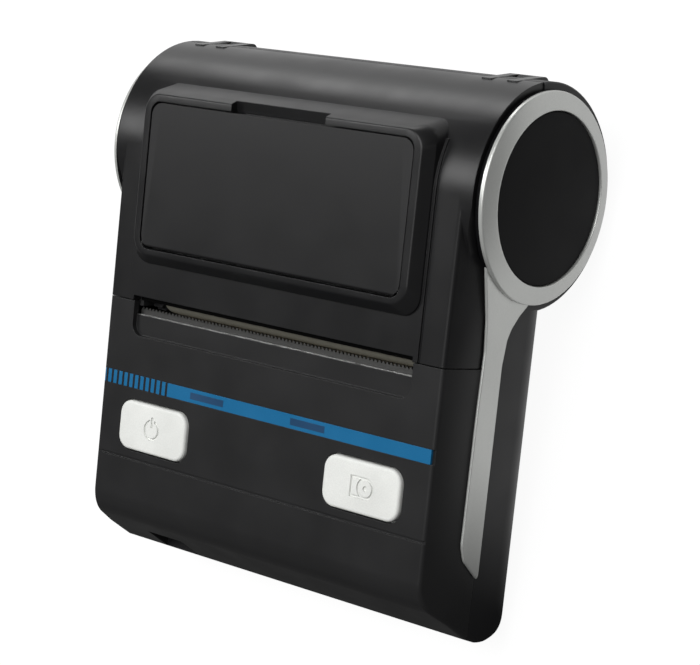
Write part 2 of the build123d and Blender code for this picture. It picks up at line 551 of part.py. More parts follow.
# Release handle and its pins
handle = rounded_plate(-HANDLE_HALF_X, HANDLE_HALF_X, HANDLE_Y0, HANDLE_Y1, HANDLE_TOP_Z - HANDLE_T,
                       HANDLE_TOP_Z, HANDLE_R)
pivot = rod(HANDLE_PIVOT_R, -HANDLE_HALF_X, HANDLE_HALF_X, HANDLE_AXIS)
body_part = handle & box(-60, 60, HANDLE_AXIS[0], 60, 0, 60)
handle = body_part + (handle & pivot)
for x0, x1 in ((-HANDLE_HALF_X - 1, HANDLE_PIN_X), (-HANDLE_PIN_X, HANDLE_HALF_X + 1)):
    handle = handle - rod(HANDLE_PIN_R, x0, x1, HANDLE_AXIS)
save(handle, "release_handle")
save(group(rod(HANDLE_PIN_R, -HANDLE_PIN_X, HANDLE_HALF_X + 1.3, HANDLE_AXIS),
           rod(HANDLE_PIN_R, -HANDLE_HALF_X - 1.3, HANDLE_PIN_X, HANDLE_AXIS)), "handle_pins")

# Hinge pins
save(group(hinge_rod, mirrored(hinge_rod)), "hinge_pins")

# Buttons


def button(side):
    x = side * BUTTON_X
    top = FACE_Z + BUTTON_RISE
    cap = rounded_plate(x - BUTTON_W / 2, x + BUTTON_W / 2, BUTTON_Y - BUTTON_H / 2, BUTTON_Y + BUTTON_H / 2,
                        FACE_Z - WALL - 1.0, top, BUTTON_R)
    cap = fillet(cap.edges().group_by(Axis.Z)[-1], 0.8)
    flange = rounded_plate(x - BUTTON_W / 2 - BUTTON_FLANGE, x + BUTTON_W / 2 + BUTTON_FLANGE,
                           BUTTON_Y - BUTTON_H / 2 - BUTTON_FLANGE, BUTTON_Y + BUTTON_H / 2 + BUTTON_FLANGE,
                           FACE_Z - WALL - 1.3, FACE_Z - WALL - 0.3, BUTTON_R)
    stem = Pos(x, BUTTON_Y, 21.3) * Cylinder(1.8, 5.2)
    return cap + flange + stem


icon_z = FACE_Z + BUTTON_RISE
icon_cut = 0.35
ring_mark = Cylinder(2.7, icon_cut * 2) - Cylinder(2.1, 1) - box(-0.8, 0.8, 0, 4, -1, 1)
power_mark = ring_mark + box(-0.32, 0.32, 0.6, 3.3, -icon_cut, icon_cut)
save(button(-1) - Pos(-BUTTON_X, BUTTON_Y, icon_z) * power_mark, "power_button")
sheet_mark = box(-3.1, -2.5, -2.6, 2.6, -icon_cut, icon_cut) + box(-3.1, 1.5, 2.0, 2.6, -icon_cut, icon_cut)
sheet_mark = sheet_mark + box(-3.1, 1.5, -2.6, -2.0, -icon_cut, icon_cut) + (
    Pos(1.5, 0, 0) * (Cylinder(2.6, icon_cut * 2) - Cylinder(2.0, 1)))
sheet_mark = sheet_mark + (Pos(1.5, 0, 0) * Cylinder(0.65, icon_cut * 2))
save(button(1) - Pos(BUTTON_X, BUTTON_Y, icon_z) * sheet_mark, "feed_button")

# Board, key switches, lights and port
board = box(*BOARD, BOARD_Z, BOARD_Z + BOARD_T)
for x, y in POST_XY:
    board = board - Pos(x, y, BOARD_Z) * Cylinder(1.1, 6)
save(board, "main_board")
top_z = BOARD_Z + BOARD_T
save(group(*[Pos(x, y, top_z + 0.6) * Cylinder(2.1, 1.2) + Pos(x, y, BOARD_Z - 1.6) * Cylinder(0.98, 6.4)
             for x, y in POST_XY]), "board_screws")
save(group(*[box(s * BUTTON_X - 3, s * BUTTON_X + 3, BUTTON_Y - 3, BUTTON_Y + 3, top_z, top_z + 3.4)
             + Pos(s * BUTTON_X, BUTTON_Y, top_z + 3.8) * Cylinder(1.6, 0.9) for s in (-1, 1)]), "key_switches")
save(group(*[box((x0 + x1) / 2 - 1.5, (x0 + x1) / 2 + 1.5, stripe_mid - 1, stripe_mid + 1, top_z, top_z + 1.2)
             for x0, x1 in WINDOW_X]), "indicator_lights")
save(group(box(-12, 2, -84, -70, top_z, top_z + 1.6), box(10, 20, -90, -80, top_z, top_z + 1.4)), "control_chips")
port = box(PORT_X[0], PORT_X[1], -101.2, -93.0, PORT_Z[0], PORT_Z[1])
port = port - box(PORT_X[0] + 0.4, PORT_X[1] - 0.4, -102, -94.0, PORT_Z[0] + 0.4, PORT_Z[1] - 0.4)
port = port + box(PORT_X[0] + 1.8, PORT_X[1] - 1.8, -100.0, -93.5, PORT_Z[0] + 1.3, PORT_Z[0] + 1.9)
save(port, "data_port")

# Battery, its contacts and its door
battery = box(*BATTERY)
battery = fillet(battery.edges().filter_by(Axis.Y), 3.0)
save(battery, "battery_pack")
save(group(*[box(x, x + 2, BATTERY[3], BATTERY[3] + 1.0, -3.5, 3.5) for x in (-6, -1, 4)]
           + [box(-8, 8, BATTERY[3] + 1.0, BATTERY[3] + 2.6, -5.0, 5.0)]), "battery_contacts")
door = box(DOOR[0] + DOOR_GAP, DOOR[1] - DOOR_GAP, DOOR[2] + DOOR_GAP, DOOR_AXIS[0], DOOR_AXIS[1] - DOOR_R,
           DOOR_AXIS[1] + DOOR_R)
door = door + rod(DOOR_R, DOOR[0] + DOOR_GAP, DOOR[1] - DOOR_GAP, DOOR_AXIS)
door = door + rod(DOOR_PIN_R, DOOR[0] - DOOR_PIN_L, DOOR[1] + DOOR_PIN_L, DOOR_AXIS)
door = door - rounded_plate(-12, 12, -87.5, -84.0, BACK_Z - 1, BACK_Z + 0.6, 1.5)
save(door, "battery_door")
ribbon_line = [(-45.8, 9.0), (-45.8, -7.5), (-53.3, -7.5), (-53.3, 11.8), (-56.0, 11.8), (-56.0, 12.0),
               (-53.1, 12.0), (-53.1, -7.3), (-46.0, -7.3), (-46.0, 9.0)]
save(prism(ribbon_line, 18.0, 32.0), "head_ribbon")

# Feet
feet = []
for s in (-1, 1):
    peg = Pos(s * FRONT_FOOT[0], FRONT_FOOT[1], BACK_Z - 1.5) * Cylinder(FOOT_R, 7.0)
    pad = box(s * REAR_FOOT_X - 5, s * REAR_FOOT_X + 5, -10.0, 0.5, -ROLL_R - 3, -ROLL_R + 4)
    feet += [peg, pad]
rest_half = Rot(-TILT, 0, 0) * (Pos(0, 0, -REST + 50) * Box(300, 300, 100))
feet = [(foot & rest_half) - outer for foot in feet]
save(group(*feet), "feet")
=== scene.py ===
import json
import math

import bmesh
import bpy
from bpy.props import FloatProperty, FloatVectorProperty, IntProperty, PointerProperty
from mathutils import Matrix, Vector


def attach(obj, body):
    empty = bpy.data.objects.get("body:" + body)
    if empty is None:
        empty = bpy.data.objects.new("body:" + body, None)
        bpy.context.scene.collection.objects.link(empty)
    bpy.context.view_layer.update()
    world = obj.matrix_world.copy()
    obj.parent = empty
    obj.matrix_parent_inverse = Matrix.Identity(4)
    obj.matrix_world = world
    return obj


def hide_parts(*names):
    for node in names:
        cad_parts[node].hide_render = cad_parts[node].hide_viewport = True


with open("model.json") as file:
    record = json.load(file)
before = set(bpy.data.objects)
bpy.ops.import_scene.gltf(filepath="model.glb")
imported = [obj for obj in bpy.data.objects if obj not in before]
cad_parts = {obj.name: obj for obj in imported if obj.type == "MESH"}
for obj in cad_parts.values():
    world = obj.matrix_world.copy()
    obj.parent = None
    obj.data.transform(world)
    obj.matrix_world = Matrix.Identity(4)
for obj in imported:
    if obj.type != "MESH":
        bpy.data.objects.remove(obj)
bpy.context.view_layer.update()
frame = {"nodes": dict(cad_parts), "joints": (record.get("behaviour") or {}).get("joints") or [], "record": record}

bl_info = {
    "name": "Portable receipt printer finish",
    "version": (1, 0, 0),
    "blender": (4, 5, 0),
    "location": "3D View > Sidebar > Printer",
    "description": "Dresses the packed receipt printer with its trim, keys, paper slot and finishes",
    "category": "Object",
}

MM = 0.001

# The printer lies tilted on its feet. Its own frame has X across, Y towards the roll and Z out of
# the control face, with the roll compartment's axis as origin. TO_ROW turns it to stand on its feet.
KEY_AXIS = next(j for j in frame["joints"] if j["name"] == "power_press")["axis"]
TILT = math.atan2(KEY_AXIS[1], -KEY_AXIS[2])
PLATEN_AT = next(j for j in frame["joints"] if j["name"] == "platen_spin")["pos_m"]
TURN = Matrix.Rotation(TILT, 4, "X")
PLATEN_IN_ROW = Vector((0, -37.0 * MM, 18.8 * MM))
ROLL_AXIS = Vector((0, PLATEN_AT[1], PLATEN_AT[2])) - TURN @ PLATEN_IN_ROW
TO_ROW = Matrix.Translation(ROLL_AXIS) @ TURN

# Sizes in millimetres, in the printer's own frame
SIDE_X = 57.9
RING_Z = 0.9
RING_R = 25.3
RING_BORE = 20.7
RING_BASE_X = 58.75
RING_RIM_X = 59.7
RING_LIP_X = 61.0
RING_ROUNDS = (0, 0, 0.7, 0.4)
CAP_EDGE_X = 60.0
CAP_GAP = 0.15
CAP_SHOULDER = 0.35
CAP_ROUND = 0.5
DOME_RINGS = 24
TAIL = ((-14.0, 20.9), (-28.4, 17.7), (-36.0, 16.9), (-50.0, 17.3), (-82.0, 17.5), (-85.8, 16.1),
        (-90.8, 10.2), (-89.9, 9.7), (-39.6, 9.7), (-33.5, 8.8), (-31.0, 7.6), (-28.0, 5.0), (-24.0, 0.5))
TAIL_ROUNDS = (0, 3, 4, 4, 5, 4, 0.8, 0.8, 6, 3, 3, 3, 0)
TAIL_OVERLAP = 1.0
STRIPE_Y = (-62.5, -59.0)
STRIPE_HALF_X = 54.05
STRIPE_Z = (26.6, 27.3)
BAR_X0 = -53.7
BAR_W = 0.72
BAR_T = 0.12
BAR_TOP_Z = 27.33
WINDOW_X = ((-23.2, -11.8), (10.6, 21.6))
WINDOW_H = 1.7
TEAR_HALF_X = 45.7
TEAR_Y = -43.65
TEAR_BLADE = 0.22
TEAR_Z = (22.6, 26.0)
TEAR_FOOT = 3.4
TEAR_FOOT_T = 0.6
STRIP_Z = (24.4, 24.9)
TOOTH_BASE_Y = -42.3
TOOTH_REACH = 0.7
LIP_Y = (-40.3, -38.0)
LIP_HALF_X = 45.1
LIP_TOP_Z = 26.1
# Painted shade on the cover's lip inside the paper slot: a near-black colour and little gloss, where little light
# reaches.
SLOT_SHADE_COLOUR = (0.002, 0.002, 0.002, 1)
SLOT_SHADE_SPECULAR = 0.03
TURN_STEPS = 192

# Tolerances
WELD_GAP = 1e-6
SEAM_GAP = 1e-7
NODE_CREASE = 30.0
PIECE_CREASE = 32.0
STRAIGHT = 88.0


# Stage, in metres: each lamp has its place, its target, its size and its power
WORLD_LIGHT = 0.16
FLOOR_HALF = 6.0
FLOOR_DROP = 0.0002
FLOOR_COLOUR = (0.10, 0.10, 0.10, 1)
FLOOR_ROUGHNESS = 0.9
FLOOR_GLOW = 0.94
SWEEP_GLOW = 0.80
SWEEP_X = (0.17, 0.12)
SWEEP_Y = (-0.06, -0.03)
CAMERA_AT = (0.3511, -0.00767, 0.45154)
CAMERA_TURN = (10.7635, 37.5462, 16.259)
CAMERA_LENS = 112.8
CAMERA_SENSOR = 36.0
CAMERA_NEAR = 0.01
LAMPS = (
    ("lamp_top", (0.16, 0.18, 1.02), (0, 0, 0.03), (0.80, 0.80), 8.8),
    ("lamp_high_left", (-0.60, 0.12, 0.78), (0, 0, 0.04), (0.28, 0.28), 2.7),
    ("lamp_low_rear", (-0.46, 0.88, 0.14), (0, 0, 0.04), (0.60, 0.26), 2.3),
)


class PrinterSizes(bpy.types.PropertyGroup):
    trim_thickness: FloatProperty(name="Trim thickness", description="How far the trim stands off the side",
                                  default=0.8 * MM, min=0.2 * MM, unit="LENGTH")
    trim_bevel: FloatProperty(name="Trim bevel", description="Width of the trim's softened edge",
                              default=0.32 * MM, min=0.0, unit="LENGTH")
    cap_dome: FloatProperty(name="Cap dome", description="How far the end cap swells at its middle",
                            default=0.85 * MM, min=0.0, unit="LENGTH")
    bar_count: IntProperty(name="Level bars", description="Dark gaps of the level mark on the stripe",
                           default=12, min=1)
    bar_pitch: FloatProperty(name="Bar pitch", description="Distance from gap to gap", default=1.96 * MM,
                             unit="LENGTH")
    tooth_pitch: FloatProperty(name="Tooth pitch", description="Distance between the tear bar's teeth",
                               default=1.18 * MM, unit="LENGTH")


class PrinterColours(bpy.types.PropertyGroup):
    case: FloatVectorProperty(name="Case", description="Black plastic of the case", subtype="COLOR",
                              default=(0.008, 0.008, 0.009))
    housing: FloatVectorProperty(name="Housing", description="Black plastic of the control housing",
                                 subtype="COLOR", default=(0.016, 0.016, 0.0165))
    cover: FloatVectorProperty(name="Cover", description="Black plastic of the cover", subtype="COLOR",
                               default=(0.009, 0.009, 0.0095))
    handle: FloatVectorProperty(name="Handle", description="Dark grey plastic of the release handle",
                                subtype="COLOR", default=(0.015, 0.015, 0.0155))
    trim: FloatVectorProperty(name="Trim", description="Silver paint of the side trim", subtype="COLOR",
                              default=(0.60, 0.61, 0.59))
    stripe: FloatVectorProperty(name="Stripe", description="Blue of the status stripe", subtype="COLOR",
                                default=(0.009, 0.130, 0.290))
    keys: FloatVectorProperty(name="Keys", description="Light grey plastic of the keys", subtype="COLOR",
                              default=(0.80, 0.81, 0.78))
    platen: FloatVectorProperty(name="Platen", description="Ground rubber of the platen", subtype="COLOR",
                                default=(0.27, 0.26, 0.215))


def sizes():
    return bpy.context.scene.printer_sizes


def colours():
    return bpy.context.scene.printer_colours


# Finishes


class Nodes:
    """A shader tree, built a node at a time."""

    def __init__(self, tree):
        self.tree = tree

    def node(self, kind, **values):
        made = self.tree.nodes.new(kind)
        for key, value in values.items():
            setattr(made, key, value)
        return made

    def join(self, out, into):
        self.tree.links.new(out, into)

    def maths(self, operation, *values):
        """One operation on numbers and patterns."""
        made = self.node("ShaderNodeMath", operation=operation)
        for socket, value in zip(made.inputs, values):
            if isinstance(value, bpy.types.NodeSocket):
                self.join(value, socket)
            else:
                socket.default_value = value
        return made.outputs[0]

    def spread(self, fac, low, high, start=0.3, end=0.7):
        """Turns a pattern into a number between low and high."""
        ranged = self.node("ShaderNodeMapRange")
        ranged.inputs["From Min"].default_value = start
        ranged.inputs["From Max"].default_value = end
        ranged.inputs["To Min"].default_value = low
        ranged.inputs["To Max"].default_value = high
        self.join(fac, ranged.inputs["Value"])
        return ranged.outputs["Result"]


class Finish(Nodes):
    """A Principled material whose pattern reads Object coordinates."""

    EDGE_FACING = (0.80, 0.985)

    def __init__(self, name, roughness, metallic=0.0, coat=0.0, specular=0.5):
        self.material = bpy.data.materials.new(name)
        self.material.use_nodes = True
        super().__init__(self.material.node_tree)
        self.shader = self.tree.nodes["Principled BSDF"]
        self.shader.inputs["Roughness"].default_value = roughness
        self.shader.inputs["Metallic"].default_value = metallic
        self.shader.inputs["Coat Weight"].default_value = coat
        self.shader.inputs["Specular IOR Level"].default_value = specular
        self.place = self.node("ShaderNodeTexCoord").outputs["Object"]

    def noise(self, size_mm, detail=3.0, stretch=(1, 1, 1)):
        mapping = self.node("ShaderNodeMapping")
        mapping.inputs["Scale"].default_value = stretch
        self.join(self.place, mapping.inputs["Vector"])
        noise = self.node("ShaderNodeTexNoise")
        noise.inputs["Scale"].default_value = 1.0 / (size_mm * MM)
        noise.inputs["Detail"].default_value = detail
        self.join(mapping.outputs["Vector"], noise.inputs["Vector"])
        return noise.outputs["Fac"]

    def tint(self, fac, first, second):
        """Mixes two colours by a pattern."""
        mix = self.node("ShaderNodeMix", data_type="RGBA")
        mix.inputs["A"].default_value = (*first, 1)
        mix.inputs["B"].default_value = (*second, 1)
        self.join(fac, mix.inputs["Factor"])
        return mix.outputs["Result"]

    def layer(self, fac, colour, over):
        """Puts a colour over another by a pattern."""
        mix = self.node("ShaderNodeMix", data_type="RGBA")
        self.join(over, mix.inputs["A"])
        mix.inputs["B"].default_value = (*colour, 1)
        self.join(fac, mix.inputs["Factor"])
        return mix.outputs["Result"]

    def soft_normal(self, radius_mm):
        """The normal, rounded near sharp edges."""
        bevel = self.node("ShaderNodeBevel", samples=4)
        bevel.inputs["Radius"].default_value = radius_mm * MM
        return bevel.outputs["Normal"]

    def lean(self, normal):
        """How far a rounded normal leans from the flat one, so that it marks the edges."""
        flat = self.node("ShaderNodeNewGeometry")
        dot = self.node("ShaderNodeVectorMath", operation="DOT_PRODUCT")
        self.join(normal, dot.inputs[0])
        self.join(flat.outputs["Normal"], dot.inputs[1])
        return self.spread(dot.outputs["Value"], 1.0, 0.0, *self.EDGE_FACING)

    def bump(self, height, depth_mm, normal=None):
        bump = self.node("ShaderNodeBump")
        bump.inputs["Strength"].default_value = 1.0
        bump.inputs["Distance"].default_value = depth_mm * MM
        self.join(height, bump.inputs["Height"])
        if normal is not None:
            self.join(normal, bump.inputs["Normal"])
        self.join(bump.outputs["Normal"], self.shader.inputs["Normal"])


def darker(colour, share):
    return tuple(c * share for c in colour)


def moulded_plastic(name, colour, roughness, grain_mm=0.30, grain_depth=0.010, edge_mm=0.25, edge_wear_and_highlight=0.35,
                    specular=0.30):
    """Spark-eroded moulded plastic: fine grain, cloudy gloss, and edges painted a little paler, partly rubbed wear
    and partly a painted highlight.
    """
    f = Finish(name, roughness, specular=specular)
    clouds = f.noise(14.0, 2.0)
    grain = f.noise(grain_mm, 2.0)
    normal = f.soft_normal(edge_mm)
    body = f.tint(f.spread(clouds, 0, 1), darker(colour, 0.90), darker(colour, 1.10))
    speck = f.tint(f.spread(grain, 0, 1, 0.4, 0.8), darker(colour, 0.85), darker(colour, 1.15))
    blend = f.node("ShaderNodeMix", data_type="RGBA")
    blend.inputs["Factor"].default_value = 0.4
    f.join(body, blend.inputs["A"])
    f.join(speck, blend.inputs["B"])
    # Edges painted paler: partly rubbed wear, partly a painted edge highlight.
    worn_and_highlit = f.maths("MULTIPLY", f.lean(normal), edge_wear_and_highlight)
    pale = tuple(min(1.0, c * 1.6 + 0.01) for c in colour)
    f.join(f.layer(worn_and_highlit, pale, blend.outputs["Result"]), f.shader.inputs["Base Color"])
    f.join(f.spread(clouds, roughness - 0.04, roughness + 0.05), f.shader.inputs["Roughness"])
    f.bump(grain, grain_depth, normal)
    return f.material


def shaded_slot(material):
    """Paints shade on the cover's lip inside the paper slot, where little light reaches: a near-black colour with
    little gloss.
    """
    nodes = Nodes(material.node_tree)
    shift = nodes.node("ShaderNodeVectorMath", operation="SUBTRACT")
    shift.inputs[1].default_value = ROLL_AXIS
    turn = nodes.node("ShaderNodeVectorRotate", rotation_type="X_AXIS")
    turn.inputs["Angle"].default_value = -TILT
    apart = nodes.node("ShaderNodeSeparateXYZ")
    nodes.join(nodes.node("ShaderNodeTexCoord").outputs["Object"], shift.inputs[0])
    nodes.join(shift.outputs["Vector"], turn.inputs["Vector"])
    nodes.join(turn.outputs["Vector"], apart.inputs["Vector"])
    x, y, z = (apart.outputs[axis] for axis in "XYZ")
    # The mask: the lip inside the slot, where the shade is painted.
    inside = nodes.maths("LESS_THAN", nodes.maths("ABSOLUTE", x), LIP_HALF_X * MM)
    for source, operation, limit in ((y, "GREATER_THAN", LIP_Y[0]), (y, "LESS_THAN", LIP_Y[1]),
                                     (z, "LESS_THAN", LIP_TOP_Z)):
        inside = nodes.maths("MULTIPLY", inside, nodes.maths(operation, source, limit * MM))
    shader = nodes.tree.nodes["Principled BSDF"]
    for label, kind, dark in (("Base Color", "RGBA", SLOT_SHADE_COLOUR),
                              ("Specular IOR Level", "FLOAT", SLOT_SHADE_SPECULAR)):
        mix = nodes.node("ShaderNodeMix", data_type=kind)
        socket = shader.inputs[label]
        if socket.is_linked:
            nodes.join(socket.links[0].from_socket, mix.inputs["A"])
        else:
            mix.inputs["A"].default_value = socket.default_value
        mix.inputs["B"].default_value = dark
        nodes.join(inside, mix.inputs["Factor"])
        nodes.join(mix.outputs["Result"], socket)
    return material


def silver_paint(name, colour):
    """Satin silver paint: fine flake, slight orange peel."""
    f = Finish(name, 0.36, metallic=0.55, coat=0.15)
    flake = f.noise(0.09, 1.0)
    clouds = f.noise(20.0, 2.0)
    body = f.tint(f.spread(flake, 0, 1), darker(colour, 0.86), darker(colour, 1.12))
    f.join(body, f.shader.inputs["Base Color"])
    f.join(f.spread(clouds, 0.33, 0.41), f.shader.inputs["Roughness"])
    f.bump(f.noise(0.7, 2.0), 0.004, f.soft_normal(0.2))
    return f.material


def bare_metal(name, colour, roughness):
    """Drawn or rolled metal, with its grain along X."""
    f = Finish(name, roughness, metallic=1.0)
    grain = f.noise(0.12, 3.0, (0.04, 1, 1))
    body = f.tint(f.spread(grain, 0, 1), darker(colour, 0.82), darker(colour, 1.1))
    f.join(body, f.shader.inputs["Base Color"])
    f.join(f.spread(grain, roughness - 0.06, roughness + 0.10), f.shader.inputs["Roughness"])
    f.bump(grain, 0.004, f.soft_normal(0.08))
    return f.material


def platen_rubber(name, colour):
    """Ground rubber: faint rings round the roller, dusty from paper."""
    f = Finish(name, 0.72, specular=0.3)
    rings = f.noise(0.25, 2.0, (1, 0.02, 0.02))
    dust = f.noise(3.0, 4.0)
    base = f.tint(f.spread(rings, 0, 1), darker(colour, 0.92), darker(colour, 1.06))
    pale = f.layer(f.spread(dust, 0.0, 0.35, 0.45, 0.75), darker(colour, 1.35), base)
    f.join(pale, f.shader.inputs["Base Color"])
    f.join(f.spread(dust, 0.66, 0.80), f.shader.inputs["Roughness"])
    f.bump(rings, 0.010)
    return f.material


def soft_rubber(name, colour):
    """Matt rubber with some dust on it."""
    f = Finish(name, 0.75, specular=0.3)
    dust = f.noise(1.2, 4.0)
    body = f.tint(f.spread(dust, 0, 1), darker(colour, 0.8), darker(colour, 1.5))
    f.join(body, f.shader.inputs["Base Color"])
    f.join(f.spread(dust, 0.68, 0.85), f.shader.inputs["Roughness"])
    f.bump(f.noise(0.35, 2.0), 0.02)
    return f.material


def gloss_stripe(name, colour):
    """In-mould decorated stripe: satin lacquer over colour with a very fine halftone."""
    f = Finish(name, 0.34, specular=0.3)
    dots = f.node("ShaderNodeTexVoronoi")
    dots.inputs["Scale"].default_value = 1.0 / (0.16 * MM)
    f.join(f.place, dots.inputs["Vector"])
    clouds = f.noise(9.0, 2.0)
    halftone = f.spread(dots.outputs["Distance"], 0, 1, 0.2, 0.7)
    base = f.tint(halftone, darker(colour, 1.06), darker(colour, 0.92))
    f.join(f.layer(f.spread(clouds, 0.0, 0.25), darker(colour, 1.25), base), f.shader.inputs["Base Color"])
    f.join(f.spread(clouds, 0.26, 0.36), f.shader.inputs["Roughness"])
    f.bump(dots.outputs["Distance"], 0.002, f.soft_normal(0.12))
    return f.material


def circuit_board(name, colour):
    """Green solder mask with tracks as slightly paler lines."""
    f = Finish(name, 0.32, coat=0.2)
    tracks = f.node("ShaderNodeTexBrick", offset=0.35, squash=1.0)
    tracks.inputs["Color1"].default_value = (0, 0, 0, 1)
    tracks.inputs["Color2"].default_value = (0.2, 0.2, 0.2, 1)
    tracks.inputs["Mortar"].default_value = (1, 1, 1, 1)
    tracks.inputs["Scale"].default_value = 1.0 / (9.0 * MM)
    tracks.inputs["Mortar Size"].default_value = 0.018
    f.join(f.place, tracks.inputs["Vector"])
    base = f.tint(tracks.outputs["Color"], colour, darker(colour, 1.9))
    f.join(base, f.shader.inputs["Base Color"])
    f.join(f.spread(f.noise(6.0), 0.28, 0.40), f.shader.inputs["Roughness"])
    f.bump(tracks.outputs["Color"], 0.03)
    return f.material


def frosted(name, colour, roughness=0.35, cloud_mm=1.0, cloud_depth=0.004):
    """A milky clear window or lamp."""
    f = Finish(name, roughness, coat=0.3)
    clouds = f.noise(cloud_mm, 2.0)
    body = f.tint(f.spread(clouds, 0, 1), darker(colour, 0.9), darker(colour, 1.1))
    f.join(body, f.shader.inputs["Base Color"])
    f.join(f.spread(clouds, roughness - 0.05, roughness + 0.08), f.shader.inputs["Roughness"])
    f.bump(clouds, cloud_depth)
    return f.material


FINISHES = {}


def make_finishes():
    c = colours()
    steel = bare_metal("bright_steel", (0.62, 0.62, 0.61), 0.26)
    FINISHES.update({
        "lower_case": moulded_plastic("case_plastic", tuple(c.case), 0.46, grain_mm=0.34,
                                      grain_depth=0.014),
        "housing": moulded_plastic("housing_plastic", tuple(c.housing), 0.36, grain_mm=0.30,
                                   grain_depth=0.006),
        # The cover's plastic carries painted shade on its lip inside the paper slot.
        "cover": shaded_slot(moulded_plastic("cover_plastic", tuple(c.cover), 0.33, grain_mm=0.30,
                                             grain_depth=0.005)),
        "handle": moulded_plastic("handle_plastic", tuple(c.handle), 0.50, grain_mm=0.36,
                                  grain_depth=0.012),
        "cap": moulded_plastic("cap_plastic", darker(tuple(c.case), 0.6), 0.45, grain_mm=0.30,
                               grain_depth=0.006, specular=0.06),
        "key": moulded_plastic("key_plastic", tuple(c.keys), 0.42, grain_mm=0.25, grain_depth=0.005,
                               edge_mm=0.3, edge_wear_and_highlight=0.0),
        "stripe": gloss_stripe("stripe_blue", tuple(c.stripe)),
        "marks": moulded_plastic("level_marks", (0.006, 0.007, 0.010), 0.5, grain_mm=0.3,
                                 grain_depth=0.004, edge_wear_and_highlight=0.0),
        "window": frosted("window_smoke", (0.007, 0.050, 0.125), 0.32, cloud_mm=14.0, cloud_depth=0.001),
        "teeth": bare_metal("ground_teeth", (0.085, 0.085, 0.083), 0.5),
        "trim": silver_paint("trim_silver", tuple(c.trim)),
        "steel": steel,
        "ceramic": frosted("glazed_ceramic", (0.42, 0.38, 0.31), 0.2),
        "aluminium": bare_metal("extruded_aluminium", (0.66, 0.66, 0.67), 0.38),
        "frame": moulded_plastic("frame_plastic", (0.035, 0.035, 0.036), 0.55, grain_mm=0.5,
                                 grain_depth=0.02),
        "inner_plastic": moulded_plastic("inner_plastic", (0.026, 0.026, 0.027), 0.52, grain_mm=0.5,
                                         grain_depth=0.015),
        "sensor": frosted("sensor_lens", (0.010, 0.008, 0.014), 0.15),
        "motor": bare_metal("motor_can", (0.50, 0.50, 0.50), 0.34),
        "board": circuit_board("board_mask", (0.012, 0.105, 0.045)),
        "switch": moulded_plastic("switch_plastic", (0.03, 0.03, 0.03), 0.4),
        "led": frosted("lamp_clear", (0.62, 0.66, 0.58), 0.2),
        "chip": moulded_plastic("chip_resin", (0.018, 0.018, 0.018), 0.55, grain_mm=0.12,
                                grain_depth=0.006),
        "connector": bare_metal("tinned_steel", (0.60, 0.60, 0.60), 0.30),
        "battery": moulded_plastic("battery_film", (0.030, 0.032, 0.040), 0.35, grain_mm=2.5,
                                   grain_depth=0.03),
        "contact": bare_metal("gilt_contact", (0.78, 0.55, 0.22), 0.25),
        "ribbon": frosted("ribbon_film", (0.40, 0.20, 0.05), 0.3),
        "foot": soft_rubber("foot_rubber", (0.022, 0.022, 0.022)),
        "bushing": moulded_plastic("acetal_bush", (0.46, 0.44, 0.38), 0.42, grain_mm=0.4,
                                   grain_depth=0.004, edge_wear_and_highlight=0.0),
        "platen": platen_rubber("ground_rubber", tuple(c.platen)),
        # The platen gear sits in the dark gap at the slot's end; its near-black colour is painted shade.
        "gear_black": moulded_plastic("black_acetal", (0.026, 0.026, 0.027), 0.42, grain_mm=0.4,
                                      grain_depth=0.004),
        "gear": moulded_plastic("acetal_gear", (0.50, 0.48, 0.42), 0.40, grain_mm=0.4, grain_depth=0.004,
                                edge_mm=0.08, edge_wear_and_highlight=0.0),
    })


# Meshes


def shade_by_angle(obj):
    """Smooths a piece but keeps its real edges crisp."""
    bm = bmesh.new()
    bm.from_mesh(obj.data)
    bmesh.ops.remove_doubles(bm, verts=bm.verts, dist=SEAM_GAP)
    bmesh.ops.recalc_face_normals(bm, faces=bm.faces)
    for face in bm.faces:
        face.smooth = True
    for edge in bm.edges:
        if len(edge.link_faces) == 2 and edge.calc_face_angle(0.0) > math.radians(PIECE_CREASE):
            edge.smooth = False
    bm.to_mesh(obj.data)
    bm.free()


def new_piece(name, mesh, slot, body, finish=None):
    """A piece from a mesh in the printer's own frame, with its slot's finish unless one is named."""
    obj = bpy.data.objects.new(name, mesh)
    bpy.context.collection.objects.link(obj)
    mesh.materials.clear()
    mesh.materials.append(FINISHES[finish or slot])
    shade_by_angle(obj)
    mesh.transform(TO_ROW)
    mesh.update()
    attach(obj, body)
    return obj


def flat_plate(outlines, x_from, thickness, bevel):
    """A plate across X from closed (Y, Z) outlines in millimetres, with softened edges."""
    curve = bpy.data.curves.new("plate", "CURVE")
    curve.dimensions = "2D"
    curve.fill_mode = "BOTH"
    curve.extrude = thickness / 2 - bevel
    curve.bevel_depth = bevel
    curve.bevel_resolution = 3
    curve.offset = -bevel
    for outline in outlines:
        line = curve.splines.new("POLY")
        line.points.add(len(outline) - 1)
        for point, (y, z) in zip(line.points, outline):
            point.co = (y * MM, z * MM, 0, 1)
        line.use_cyclic_u = True
    holder = bpy.data.objects.new("plate", curve)
    bpy.context.collection.objects.link(holder)
    shown = holder.evaluated_get(bpy.context.evaluated_depsgraph_get())
    mesh = bpy.data.meshes.new_from_object(shown)
    bpy.data.objects.remove(holder)
    bpy.data.curves.remove(curve)
    mid = x_from + thickness / 2
    for v in mesh.vertices:
        y, z, x = v.co
        v.co = (mid + x, y, z)
    return mesh


def mirror_mesh(mesh):
    other = mesh.copy()
    other.transform(Matrix.Scale(-1, 4, Vector((1, 0, 0))))
    other.flip_normals()
    return other


